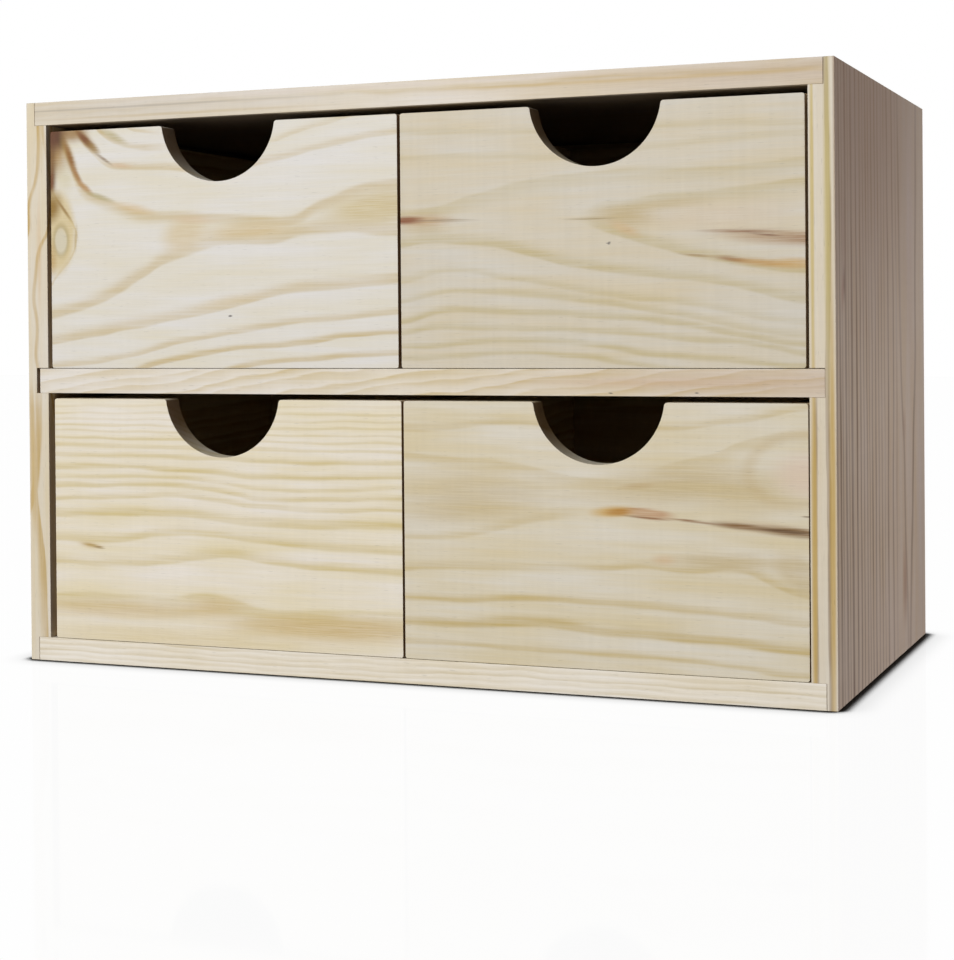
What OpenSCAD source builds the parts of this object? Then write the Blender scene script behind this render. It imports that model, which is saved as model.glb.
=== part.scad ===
// Desktop mini drawers: a small pine cabinet with two rows of two pull-out drawers.
// Sizes are in millimetres. +Z is up, the drawer fronts face -Y, and the origin is
// the middle of the footprint, on the surface that the cabinet stands on.

/* [Cabinet] */
// Width over the two side boards
cabinet_w = 300; // [240:1:400]
// Depth from the front edges to the rear edges
cabinet_d = 170; // [120:1:260]
// Height over the top and bottom boards
cabinet_h = 206; // [175:1:280]
// Thickness of the side boards
side_t = 8.5; // [7:0.5:15]
// Thickness of the top board
top_t = 8.5; // [7:0.5:15]
// Thickness of the middle shelf
shelf_t = 9; // [7:0.5:15]
// Thickness of the bottom board
bottom_t = 8.5; // [7:0.5:15]
// Clear height of the lower row, from the bottom board to the shelf
lower_bay_h = 90.3; // [60:0.1:115]

/* [Cabinet joints] */
// Depth of the rabbets and housings in the side boards that take the boards' ends
housing_depth = 5; // [2:0.5:6]
// Gap left at each end of the top and bottom boards
board_end_gap = 0.1; // [0:0.1:1]
// Gap left at the left end of the shelf, which was cut a little short
shelf_end_gap = 1.4; // [0:0.1:2]
// Looseness of the shelf in the height of its housings
shelf_fit = 0.2; // [0:0.1:0.5]

/* [Back panel] */
// Thickness of the plywood back panel
panel_t = 3; // [2:0.5:6]
// How far the panel lies below the rear edges of the boards around it
panel_inset = 0.7; // [0.6:0.1:3]
// Width of the rabbet that the panel is let into
panel_lap = 5; // [3:0.5:6]
// Gap between the panel's edges and its rabbet
panel_gap = 0.3; // [0.1:0.1:1]

/* [Drawers] */
// Thickness of a drawer front
front_t = 9; // [7:0.5:15]
// Thickness of the drawer sides
drawer_side_t = 7; // [5:0.5:10]
// Thickness of a drawer back
drawer_back_t = 7; // [5:0.5:10]
// Thickness of a drawer's plywood bottom
drawer_bottom_t = 3; // [2:0.5:5]
// Height of the plywood bottom above the edge that the drawer slides on
bottom_rise = 4; // [3:0.5:10]
// Depth of the grooves that hold the plywood bottom
groove_depth = 3; // [2:0.5:4]
// Looseness of the plywood bottom in its grooves
groove_fit = 0.2; // [0.1:0.1:0.5]
// Thickness of the front's lip that covers the ends of the drawer sides
lip_t = 3; // [2:0.5:5]

/* [Finger notches] */
// Radius of the round finger notch
notch_r = 22.8; // [12:0.1:30]
// Height of the notch's centre above the drawer front's top edge
notch_rise = 2.2; // [0:0.1:8]
// Radius that softens the two corners of the notch
notch_lip_r = 1; // [0.5:0.1:3]

/* [Drawer fit] */
// Sideways play that the two drawers of a row share
row_play = 3.9; // [2:0.1:8]
// Gap over the upper drawers
upper_headroom = 2.5; // [1:0.1:5]
// Gap over the lower drawers
lower_headroom = 2; // [1:0.1:5]
// Height of a front's lower edge above the board that its drawer slides on
front_lift = 0.2; // [0.1:0.1:1]
// Gap between a closed drawer and the back panel
rear_gap = 0.8; // [0.3:0.1:3]
// Share of the upper row's play that stands at its left end
upper_left_share = 0.47; // [0.1:0.01:0.9]
// Share of what is left of that play that stands between the upper drawers
upper_middle_share = 0.54; // [0.1:0.01:0.9]
// Share of the lower row's play that stands at its left end
lower_left_share = 0.69; // [0.1:0.01:0.9]
// Share of what is left of that play that stands between the lower drawers
lower_middle_share = 0.66; // [0.1:0.01:0.9]

/* [Brads] */
// Diameter of a drawer brad
brad_d = 1.2; // [0.8:0.1:1.6]
// Length of a drawer brad
brad_length = 18; // [14:1:25]
// Diameter of a drawer brad's head
brad_head_d = 2; // [1.6:0.1:3]
// Height of a drawer brad's head
brad_head_t = 0.6; // [0.4:0.1:1]
// How far the head of a drawer brad stands proud of the wood
brad_head_proud = 0.1; // [0.05:0.01:0.2]
// Distance of the outer brads of a joint from the edges of the wood
brad_inset = 9; // [5:0.5:20]
// Diameter of a panel brad
panel_brad_d = 1.4; // [1:0.1:1.8]
// Length of a panel brad under its head
panel_brad_length = 12; // [8:1:16]
// Diameter of a panel brad's flat head
panel_head_d = 3.2; // [2.4:0.1:4]
// Thickness of a panel brad's flat head
panel_head_t = 0.5; // [0.3:0.1:0.6]

/* [Hidden] */
$fn = 96;
// Overshoot of a solid that cuts another one
cut = 1;
lip_facets = 4;
brads_per_joint = 3;
panel_brads_per_board = 4;
panel_brads_on_shelf = 3;

pine = "#dccfb2";
pine_front = "#e2d6bd";
pine_drawer = "#d8c8a6";
plywood = "#d6bd92";
steel = "#a9a9a6";

front_y = -cabinet_d / 2;
rear_y = cabinet_d / 2;
inner_x = cabinet_w / 2 - side_t;
housing_x = inner_x + housing_depth;
top_z = cabinet_h - top_t;
shelf_z = bottom_t + lower_bay_h;
upper_bay_z = shelf_z + shelf_t;
upper_bay_h = top_z - upper_bay_z;

panel_rebate = panel_t + panel_inset;
panel_inner_y = rear_y - panel_rebate;
panel_outer_y = rear_y - panel_inset;
panel_half_w = inner_x + panel_lap - panel_gap;
panel_low_z = bottom_t - panel_lap + panel_gap;
panel_high_z = top_z + panel_lap - panel_gap;

drawer_w = (2 * inner_x - row_play) / 2;
drawer_d = panel_inner_y - front_y - rear_gap;
inner_half_w = drawer_w / 2 - drawer_side_t;
upper_drawer_h = upper_bay_h - upper_headroom;
lower_drawer_h = lower_bay_h - lower_headroom;
bottom_top_z = bottom_rise + drawer_bottom_t;

// A row of drawers: its name, the height of the board that it slides on, the drawers'
// height, and the shares of its play at the left end and between the two drawers.
UPPER = ["upper", upper_bay_z, upper_drawer_h, upper_left_share, upper_middle_share];
LOWER = ["lower", bottom_t, lower_drawer_h, lower_left_share, lower_middle_share];
function row_z(row) = row[1];
function row_h(row) = row[2];
function left_gap(row) = row_play * row[3];
function middle_gap(row) = (row_play - left_gap(row)) * row[4];

// A drawer: its row and its side of the cabinet.
DRAWERS = [[UPPER, "left"], [UPPER, "right"], [LOWER, "left"], [LOWER, "right"]];
DRAWER_PIECES = ["front", "left_side", "right_side", "back", "bottom", "brads"];
function drawer_node(drawer, piece) = str(drawer[0][0], "_", drawer[1], "_drawer_", piece);
function drawer_h(drawer) = row_h(drawer[0]);
function left_drawer_x(row) = -inner_x + left_gap(row) + drawer_w / 2;
function drawer_x(drawer) = left_drawer_x(drawer[0])
    + (drawer[1] == "right" ? drawer_w + middle_gap(drawer[0]) : 0);

// A box from one corner to the opposite one.
module block(low, high) {
    translate(low) cube(high - low);
}

// The evenly spaced places from one end to the other.
function spread(from, to, count) = [for (i = [0 : count - 1]) from + (to - from) * i / (count - 1)];

// The right-hand side board; the left one is its mirror image. Its inner face has a
// rabbet at each end and a housing between them, and its rear edge has a rabbet.
module side_board() {
    color(pine) difference() {
        block([inner_x, front_y, 0], [inner_x + side_t, rear_y, cabinet_h]);
        for (slot = [[top_z, cabinet_h + cut], [shelf_z, upper_bay_z + shelf_fit], [-cut, bottom_t]])
            block([inner_x - cut, front_y - cut, slot[0]], [housing_x, rear_y + cut, slot[1]]);
        block([inner_x - cut, panel_inner_y, -cut],
              [inner_x + panel_lap, rear_y + cut, cabinet_h + cut]);
    }
}

module cabinet_left_side() {
    mirror([1, 0, 0]) side_board();
}

module cabinet_right_side() {
    side_board();
}

// The top board lies in the rabbets of the sides. The panel's rabbet is under its rear edge.
module cabinet_top() {
    half_w = housing_x - board_end_gap;
    color(pine) difference() {
        block([-half_w, front_y, top_z], [half_w, rear_y, cabinet_h]);
        block([-half_w - cut, panel_inner_y, top_z - cut],
              [half_w + cut, rear_y + cut, top_z + panel_lap]);
    }
}

// The shelf stands against the right housing's floor, and ends short of the left one's.
module middle_shelf() {
    color(pine) block([-housing_x + shelf_end_gap, front_y, shelf_z],
                      [housing_x, panel_inner_y, upper_bay_z]);
}

// The bottom board lies between the sides' lower ends, flush with them.
module cabinet_bottom() {
    half_w = housing_x - board_end_gap;
    color(pine) difference() {
        block([-half_w, front_y, 0], [half_w, rear_y, bottom_t]);
        block([-half_w - cut, panel_inner_y, bottom_t - panel_lap],
              [half_w + cut, rear_y + cut, bottom_t + cut]);
    }
}

// The plywood panel squares the cabinet, and is what a closed drawer stops against.
module back_panel() {
    color(plywood) block([-panel_half_w, panel_inner_y, panel_low_z],
                         [panel_half_w, panel_outer_y, panel_high_z]);
}

// A brad along -Z with the top of its head at the origin.
module brad(shank_d, length, head_d, head_height) {
    translate([0, 0, -length]) cylinder(d = shank_d, h = length);
    translate([0, 0, -head_height]) cylinder(d = head_d, h = head_height);
}

module panel_brad() {
    rotate([-90, 0, 0])
        brad(panel_brad_d, panel_head_t + panel_brad_length, panel_head_d, panel_head_t);
}

// The brads that hold the panel to the two sides, the top, the shelf and the bottom.
module back_panel_brads() {
    half_lap = panel_lap / 2;
    row_half_w = inner_x - brad_inset;
    board_heights = [bottom_t - half_lap, top_z + half_lap];
    bay_middles = [(bottom_t + shelf_z) / 2, (upper_bay_z + top_z) / 2];
    places = concat(
        [for (z = board_heights, x = spread(-row_half_w, row_half_w, panel_brads_per_board)) [x, z]],
        [for (x = spread(-row_half_w, row_half_w, panel_brads_on_shelf)) [x, shelf_z + shelf_t / 2]],
        [for (x = [-inner_x - half_lap, inner_x + half_lap], z = bay_middles) [x, z]]
    );
    color(steel) for (place = places)
        translate([place[0], panel_outer_y + panel_head_t, place[1]]) panel_brad();
}

// A drawer's pieces are drawn round its own middle, with the front's face at y = 0 and
// the edges that it slides on at z = 0. This puts them into the drawer's bay.
module in_bay(drawer) {
    translate([drawer_x(drawer), front_y, row_z(drawer[0])]) children();
}

// The points of the small arc that leads from the front's top edge into the notch, round
// the notch's centre. The last one is moved on, so that it lies inside the notch's disc.
function lip_points() = let (
    centre_y = -notch_rise - notch_lip_r,
    centre_x = sqrt(pow(notch_r + notch_lip_r, 2) - pow(centre_y, 2)),
    arc = [for (angle = spread(90, 180 + atan(centre_y / centre_x), lip_facets + 1))
        [centre_x, centre_y] + notch_lip_r * [cos(angle), sin(angle)]],
    last = arc[lip_facets],
    inside = last + (last - arc[lip_facets - 1]) / 2
) concat([for (i = [0 : lip_facets - 1]) arc[i]], [inside]);

// The notch's outline: the disc, and at each side the corner that the small arc leaves.
module notch_outline() {
    lip = lip_points();
    circle(r = notch_r);
    for (side = [0, 1]) mirror([side, 0, 0])
        polygon(concat([[0, 0], [0, cut], [lip[0][0], cut]], lip));
}

// The front has a rabbet at each end for a drawer side, a groove for the bottom and the notch.
module drawer_front(h) {
    color(pine_front) difference() {
        block([-drawer_w / 2, 0, front_lift], [drawer_w / 2, front_t, h]);
        for (side = [0, 1]) mirror([side, 0, 0])
            block([inner_half_w, lip_t, front_lift - cut], [drawer_w / 2 + cut, front_t + cut, h + cut]);
        block([-drawer_w / 2, front_t - groove_depth, bottom_rise],
              [drawer_w / 2, front_t + cut, bottom_top_z + groove_fit]);
        translate([0, front_t + cut, h + notch_rise]) rotate([90, 0, 0])
            linear_extrude(front_t + 2 * cut) notch_outline();
    }
}

// The right-hand drawer side, with its groove; the left one is its mirror image.
module drawer_side(h) {
    color(pine_drawer) difference() {
        block([inner_half_w, lip_t, 0], [drawer_w / 2, drawer_d, h]);
        block([inner_half_w - cut, lip_t - cut, bottom_rise],
              [inner_half_w + groove_depth, drawer_d + cut, bottom_top_z + groove_fit]);
    }
}

// The back stands on the plywood bottom, between the sides.
module drawer_back(h) {
    color(pine_drawer) block([-inner_half_w, drawer_d - drawer_back_t, bottom_top_z],
                             [inner_half_w, drawer_d, h]);
}

// The bottom slides in from the rear, along the grooves and under the back.
module drawer_bottom() {
    half_w = inner_half_w + groove_depth - groove_fit;
    color(plywood) block([-half_w, front_t - groove_depth + groove_fit, bottom_rise],
                         [half_w, drawer_d, bottom_top_z]);
}

module drawer_brad() {
    brad(brad_d, brad_length, brad_head_d, brad_head_t);
}

// Brads through the sides into the ends of the front and the back, and two through the
// bottom into the back's lower edge.
module drawer_brads(h) {
    back_y = drawer_d - drawer_back_t / 2;
    color(steel) {
        for (side = [0, 1], y = [(lip_t + front_t) / 2, back_y],
             z = spread(bottom_top_z + brad_inset, h - brad_inset, brads_per_joint))
            mirror([side, 0, 0]) translate([drawer_w / 2 + brad_head_proud, y, z])
                rotate([0, 90, 0]) drawer_brad();
        for (x = [-drawer_w / 4, drawer_w / 4])
            translate([x, back_y, bottom_rise - brad_head_proud]) rotate([180, 0, 0]) drawer_brad();
    }
}

cabinet_left_side();
cabinet_right_side();
cabinet_top();
middle_shelf();
cabinet_bottom();
back_panel();
back_panel_brads();
for (drawer = DRAWERS) in_bay(drawer) {
    h = drawer_h(drawer);
    drawer_front(h);
    mirror([1, 0, 0]) drawer_side(h);
    drawer_side(h);
    drawer_back(h);
    drawer_bottom();
    drawer_brads(h);
}
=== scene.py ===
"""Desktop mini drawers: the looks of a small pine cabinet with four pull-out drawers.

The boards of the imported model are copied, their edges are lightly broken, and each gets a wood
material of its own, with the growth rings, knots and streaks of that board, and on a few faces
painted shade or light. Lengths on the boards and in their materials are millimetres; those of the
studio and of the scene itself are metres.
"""
import logging
import math
from dataclasses import dataclass, field, replace
from enum import Enum
from typing import Any

import bmesh
import bpy
from bpy.types import Material, Node, NodeSocket, NodeTree
from mathutils import Euler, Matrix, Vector


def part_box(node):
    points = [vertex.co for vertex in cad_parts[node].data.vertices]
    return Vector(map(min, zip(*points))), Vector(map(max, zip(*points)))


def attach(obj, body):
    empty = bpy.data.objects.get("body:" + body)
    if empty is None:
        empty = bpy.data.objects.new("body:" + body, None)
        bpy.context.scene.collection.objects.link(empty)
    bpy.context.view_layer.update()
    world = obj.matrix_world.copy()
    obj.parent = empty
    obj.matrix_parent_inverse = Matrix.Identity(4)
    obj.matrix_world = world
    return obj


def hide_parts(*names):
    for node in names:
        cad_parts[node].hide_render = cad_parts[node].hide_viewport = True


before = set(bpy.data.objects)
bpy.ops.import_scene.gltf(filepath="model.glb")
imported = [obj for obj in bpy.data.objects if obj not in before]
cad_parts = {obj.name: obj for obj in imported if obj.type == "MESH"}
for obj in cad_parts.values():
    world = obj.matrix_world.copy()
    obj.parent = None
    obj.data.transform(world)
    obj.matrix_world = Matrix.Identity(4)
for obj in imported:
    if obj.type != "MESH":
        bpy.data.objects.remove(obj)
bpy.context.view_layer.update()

MM = 0.001
log = logging.getLogger("mini_drawers")

# The sockets of a Mix node that blends colours
FACTOR, COLOUR_A, COLOUR_B, MIXED = 0, 6, 7, 2
# The span of a share, and the values between which a slow and a fine noise mostly lie
UNIT, SLOW_SPAN, FINE_SPAN = (0.0, 1.0), (0.3, 0.7), (0.25, 0.75)
WHITE = (1.0, 1.0, 1.0, 1.0)
# How far each board's noises lie from those of the board before it
SEED_STEP = Vector((310.0, 170.0, 90.0))


def linear(colour: str) -> tuple[float, float, float, float]:
    """Turns an sRGB hex colour into linear values.

    Args:
        colour: Six hex digits after a hash sign.

    Returns:
        Red, green, blue and an alpha of 1.
    """
    values = [int(colour[i:i + 2], 16) / 255 for i in (1, 3, 5)]
    return *(v / 12.92 if v <= 0.04045 else ((v + 0.055) / 1.055) ** 2.4 for v in values), 1.0


def add(tree: NodeTree, kind: str, inputs: dict | tuple = (), **settings: Any) -> Node:
    """Adds a node with its settings and links.

    Args:
        tree: The node tree.
        kind: The node's type without its ShaderNode prefix, and its operation after a blank.
        inputs: What the inputs get, by name or in order: a value, a socket, or a node whose first
            output is meant.
        settings: The node's own properties.

    Returns:
        The new node.
    """
    kind, _, operation = kind.partition(" ")
    node = tree.nodes.new("ShaderNode" + kind)
    if operation:
        node.operation = operation
    for name, value in settings.items():
        setattr(node, name, value)
    for key, value in inputs.items() if isinstance(inputs, dict) else enumerate(inputs):
        if isinstance(value, Node):
            value = value.outputs[0]
        if isinstance(value, NodeSocket):
            tree.links.new(value, node.inputs[key])
        else:
            node.inputs[key].default_value = value
    return node


def new_material(name: str) -> tuple[Material, NodeTree]:
    """Makes an empty node material.

    Args:
        name: The material's name.

    Returns:
        The material and its node tree.
    """
    material = bpy.data.materials.new(name)
    material.use_nodes = True
    material.node_tree.nodes.clear()
    return material, material.node_tree


# ---------------------------------------------------------------------------------------- grain


class Lay(Enum):
    """How a board lies: the axes along its grain, across its width and through its thickness."""

    FACING = "XZY"
    DEEP = "YZX"
    STANDING = "ZYX"
    FLAT = "XYZ"


@dataclass(frozen=True)
class TrunkRing:
    """One growth ring of a trunk: a dark late-wood line with a sharp side and a soft one.

    Attributes:
        at: Its distance past the first ring.
        fade: The width of the soft side, negative where that is the side nearer to the pith.
        tone: How dark it is, 0 to 1.
    """

    at: float
    fade: float
    tone: float


@dataclass(frozen=True)
class Ring:
    """One growth ring as it runs over a board's face.

    Attributes:
        points: A few points along and across the board that it runs through.
        tone: How dark it is, 0 to 1.
        below: The width of the side that fades downwards.
        above: The width of the side that fades upwards.
        width: The width of the full tone between them.
        reach: Where along the board it starts and ends.
        taper: Half the length over which it starts and ends.
    """

    points: tuple[tuple[float, float], ...]
    tone: float
    below: float
    above: float
    width: float = 0.3
    reach: tuple[float, float] | None = None
    taper: float = 6.0


def rings_past(places: tuple[float, ...], *rows: tuple) -> tuple[Ring, ...]:
    """Makes rings that run past the same few places along a board.

    Args:
        places: The places along the board.
        rows: For each ring, where it lies across the board at each place, and then its tone and its
            widths as in Ring.

    Returns:
        The rings.
    """
    return tuple(Ring(tuple(zip(places, across)), *look) for across, *look in rows)


@dataclass(frozen=True)
class StainOrShade:
    """A cloud, flame or streak of resin in the wood, or a patch of painted shade or light, drawn out along a
    line.

    Attributes:
        along, across, through: Its middle.
        length, width, depth: Its half sizes.
        turn: How far it leans from the grain, in degrees.
        colour: Its colour.
        strength: How much of the wood's own colour it covers, 0 to 1.
        edge: The share of its half size over which it fades out.
        hollow: The share of its half size inside which it is clear, for the rings of a knot.
        fray: How far the fibres pull at its edge, as a share of the usual.
        broken: How much of it the fibres break up, 0 to 1.
    """

    along: float
    across: float
    length: float
    width: float
    turn: float
    colour: str
    strength: float
    edge: float = 0.9
    through: float = 0.0
    depth: float = 30.0
    hollow: float = 0.0
    fray: float = 1.0
    broken: float = 0.3


@dataclass(frozen=True)
class Grounds:
    """The nodes that every part of a wood pattern starts from.

    Attributes:
        tree: The node tree.
        board: The point in millimetres from the board's lowest corner: along, across, through.
        own: The same point, moved far away by the board's seed, for its noises.
        fibre: The fine noise along the grain.
        streak: The middling noise along the grain.
        cloud: The slow noise along the grain.
    """

    tree: NodeTree
    board: Node
    own: Node
    fibre: Node
    streak: Node
    cloud: Node


def on_board(tree: NodeTree, lay: Lay, corner: Vector) -> tuple[Node, Node, Node]:
    """Adds the point of a board that is being coloured, in the board's own directions.

    Args:
        tree: The node tree.
        lay: How the board lies.
        corner: The board's lowest corner, in metres.

    Returns:
        The texture coordinates, the point in millimetres from the corner along X, Y and Z, and the
        same point along, across and through the board.
    """
    here = add(tree, "TexCoord")
    from_corner = add(tree, "VectorMath SUBTRACT", (here.outputs["Object"], corner))
    in_mm = add(tree, "VectorMath SCALE", {0: from_corner, "Scale": 1 / MM})
    parts = add(tree, "SeparateXYZ", (in_mm,))
    return here, parts, add(tree, "CombineXYZ", tuple(parts.outputs[axis] for axis in lay.value))


def grain_noise(tree: NodeTree, place: Node, length: float, width: float, detail: float) -> Node:
    """Adds a noise that is drawn out along the grain.

    Args:
        tree: The node tree.
        place: The point on the board, in millimetres.
        length: The noise's size along the grain.
        width: The noise's size across the grain.
        detail: How many finer layers it has.

    Returns:
        The noise node.
    """
    drawn = add(tree, "VectorMath MULTIPLY", (place, (1 / length, 1 / width, 1 / width)))
    return add(tree, "TexNoise", {"Vector": drawn, "Scale": 1.0, "Detail": detail, "Roughness": 0.55})


# The two noises by which rings wander: length, width and how far they move a ring
WANDERS = ((34.0, 13.0, 2.6), (13.0, 5.0, 1.3))


def wandering(grounds: Grounds, place: Node, amount: float) -> Node:
    """Lets a distance wander a little along the grain, as rings do.

    Args:
        grounds: The pattern's starting nodes.
        place: The node that gives the distance.
        amount: How much of the usual wander there is.

    Returns:
        The node that gives the distance with its wander.
    """
    tree = grounds.tree
    for length, width, swing in WANDERS:
        wave = grain_noise(tree, grounds.own, length, width, detail=0.0)
        centred = add(tree, "Math SUBTRACT", (wave, 0.5))
        place = add(tree, "Math MULTIPLY_ADD", (centred, swing * amount, place))
    return place


# Rings of a quietly grown pine, which repeat over 24 mm
QUIET_RINGS = (TrunkRing(2.5, -2.0, 0.45), TrunkRing(5.2, -2.2, 0.6), TrunkRing(8.8, -2.8, 0.5),
               TrunkRing(11.4, -2.0, 0.65), TrunkRing(15.2, -3.0, 0.5), TrunkRing(18.0, -2.2, 0.4),
               TrunkRing(22.4, -3.4, 0.6))


@dataclass(frozen=True)
class Trunk:
    """The figure of a board seen as a slice of a trunk.

    The rings are circles round a pith line that leans through the wood, so they show as lines or
    arches on the faces and as arcs on the ends.

    Attributes:
        pith: Where the pith lies across and through, at the board's low end.
        lean: How far it moves across and through for each millimetre along.
        rings: The rings of one span.
        span: The distance after which they repeat.
        wander: How much the rings wander.
        stains_and_shades: The board's clouds and streaks, and any shade or light painted on it.
        fray: How far the fibres pull at the rings.
        sharp: The width of a ring's sharp side.
    """

    pith: tuple[float, float]
    lean: tuple[float, float]
    rings: tuple[TrunkRing, ...] = QUIET_RINGS
    span: float = 24.0
    wander: float = 1.0
    stains_and_shades: tuple[StainOrShade, ...] = ()
    fray: float = 0.9
    sharp: float = 0.5

    def late_wood(self, grounds: Grounds) -> Node:
        """Adds the rings.

        Args:
            grounds: The pattern's starting nodes.

        Returns:
            The node that gives the share of late wood, 0 to 1.
        """
        tree = grounds.tree
        sides = []
        for pith, lean, axis in zip(self.pith, self.lean, ((1.0, 0.0), (0.0, 1.0))):
            reach = add(tree, "VectorMath DOT_PRODUCT", (grounds.board, (-lean, *axis)))
            sides.append(add(tree, "Math SUBTRACT", (reach.outputs["Value"], pith)))
        from_pith = add(tree, "CombineXYZ", tuple(sides))
        radius = add(tree, "VectorMath LENGTH", (from_pith,))
        frayed = add(tree, "Math MULTIPLY_ADD", (grounds.fibre, self.fray, radius.outputs["Value"]))
        place = wandering(grounds, frayed, self.wander)
        spans = add(tree, "Math DIVIDE", (place, self.span))
        share = add(tree, "Math FRACT", (spans,))
        curve = add(tree, "FloatCurve", {"Value": share})
        line = curve.mapping.curves[0]
        for x, y in self._peaks():
            line.points.new(x / self.span, y)
        line.points[0].location = (0.0, 0.0)
        line.points[-1].location = (1.0, 0.0)
        for point in line.points:
            point.handle_type = "VECTOR"
        curve.mapping.update()
        return curve

    def _peaks(self) -> list[tuple[float, float]]:
        """Lists foot, peak and foot of each ring.

        Returns:
            Their distances from the first ring, and their tones.
        """
        gap = 0.05
        points: list[tuple[float, float]] = [(0.0, 0.0)]
        for ring in sorted(self.rings, key=lambda ring: ring.at):
            before, after = (self.sharp, ring.fade) if ring.fade > 0 else (-ring.fade, self.sharp)
            first = max(ring.at - before, points[-1][0] + gap)
            points += [(first, 0.0), (ring.at, ring.tone), (ring.at + after, 0.0)]
        return [point for point in points if 0 < point[0] < self.span]


@dataclass(frozen=True)
class Face:
    """The figure of a board whose rings are drawn one by one over its face.

    Attributes:
        rings: The rings.
        stains_and_shades: The board's clouds and streaks, and any shade or light painted on it.
        wander: How much the rings wander.
        slant: How far the rings move across for each millimetre of depth.
        beyond: The rings of the rest of the board, where the drawn ones are only those of an edge.
        start: How far across the board the rest begins.
        blend: The width over which it begins.
        low: Where the rings' curves begin, along and across.
        long, wide: How far the curves run from there.
        fray: How far the fibres pull at the rings.
        tail: How quickly a ring's upper side fades: 1 is evenly, more is sooner.
    """

    rings: tuple[Ring, ...]
    stains_and_shades: tuple[StainOrShade, ...]
    wander: float = 0.7
    slant: float = 0.35
    beyond: Trunk | None = None
    start: float = 10.0
    blend: float = 2.0
    low: float = -10.0
    long: float = 160.0
    wide: float = 110.0
    fray: float = 0.6
    tail: float = 2.2

    def late_wood(self, grounds: Grounds) -> Node:
        """Adds the rings.

        Args:
            grounds: The pattern's starting nodes.

        Returns:
            The node that gives the share of late wood, 0 to 1.
        """
        tree = grounds.tree
        parts = add(tree, "SeparateXYZ", (grounds.board,))
        along = add(tree, "MapRange", (parts.outputs["X"], self.low, self.low + self.long))
        slanted = add(tree, "Math MULTIPLY_ADD", (parts.outputs["Z"], self.slant, parts.outputs["Y"]))
        frayed = add(tree, "Math MULTIPLY_ADD", (grounds.fibre, self.fray, slanted))
        across = wandering(grounds, frayed, self.wander)
        shown = None
        for ring in self.rings:
            tone = self._drawn(tree, ring, parts.outputs["X"], along, across)
            shown = add(tree, "Math MAXIMUM", (shown, tone)) if shown else tone
        if self.beyond is None:
            return shown
        rest = add(tree, "MapRange", (slanted, self.start, self.start + self.blend))
        more = add(tree, "Math MULTIPLY", (self.beyond.late_wood(grounds), rest))
        return add(tree, "Math MAXIMUM", (shown, more))

    def _drawn(self, tree: NodeTree, ring: Ring, place: NodeSocket, along: Node, across: Node) -> Node:
        """Adds one ring: a curve for its run, and a ramp to each side of it.

        Args:
            tree: The node tree.
            ring: The ring.
            place: The distance along the board.
            along: The same as a share of the curves' length.
            across: The distance across the board.

        Returns:
            The node that gives the ring's tone.
        """
        run = add(tree, "FloatCurve", {"Value": along})
        line = run.mapping.curves[0]
        for x, y in ring.points:
            line.points.new((x - self.low) / self.long, (y - self.low) / self.wide)
        line.points[0].location = (0.0, (ring.points[0][1] - self.low) / self.wide)
        line.points[-1].location = (1.0, (ring.points[-1][1] - self.low) / self.wide)
        run.mapping.update()
        height = add(tree, "Math MULTIPLY_ADD", (run, -self.wide, -self.low))
        past = add(tree, "Math ADD", (across, height))
        rise = add(tree, "MapRange", (past, -ring.below, 0.0, 0.0, ring.tone),
                   interpolation_type="SMOOTHSTEP")
        fall = add(tree, "MapRange", (past, ring.width + ring.above, ring.width),
                   interpolation_type="SMOOTHSTEP")
        trail = add(tree, "Math POWER", (fall, self.tail))
        tone = add(tree, "Math MULTIPLY", (rise, trail))
        if ring.reach is None:
            return tone
        middle, half = sum(ring.reach) / 2, (ring.reach[1] - ring.reach[0]) / 2
        off = add(tree, "Math SUBTRACT", (place, middle))
        away = add(tree, "Math ABSOLUTE", (off,))
        kept = add(tree, "MapRange", (away, half + ring.taper, half - ring.taper))
        return add(tree, "Math MULTIPLY", (tone, kept))


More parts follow.
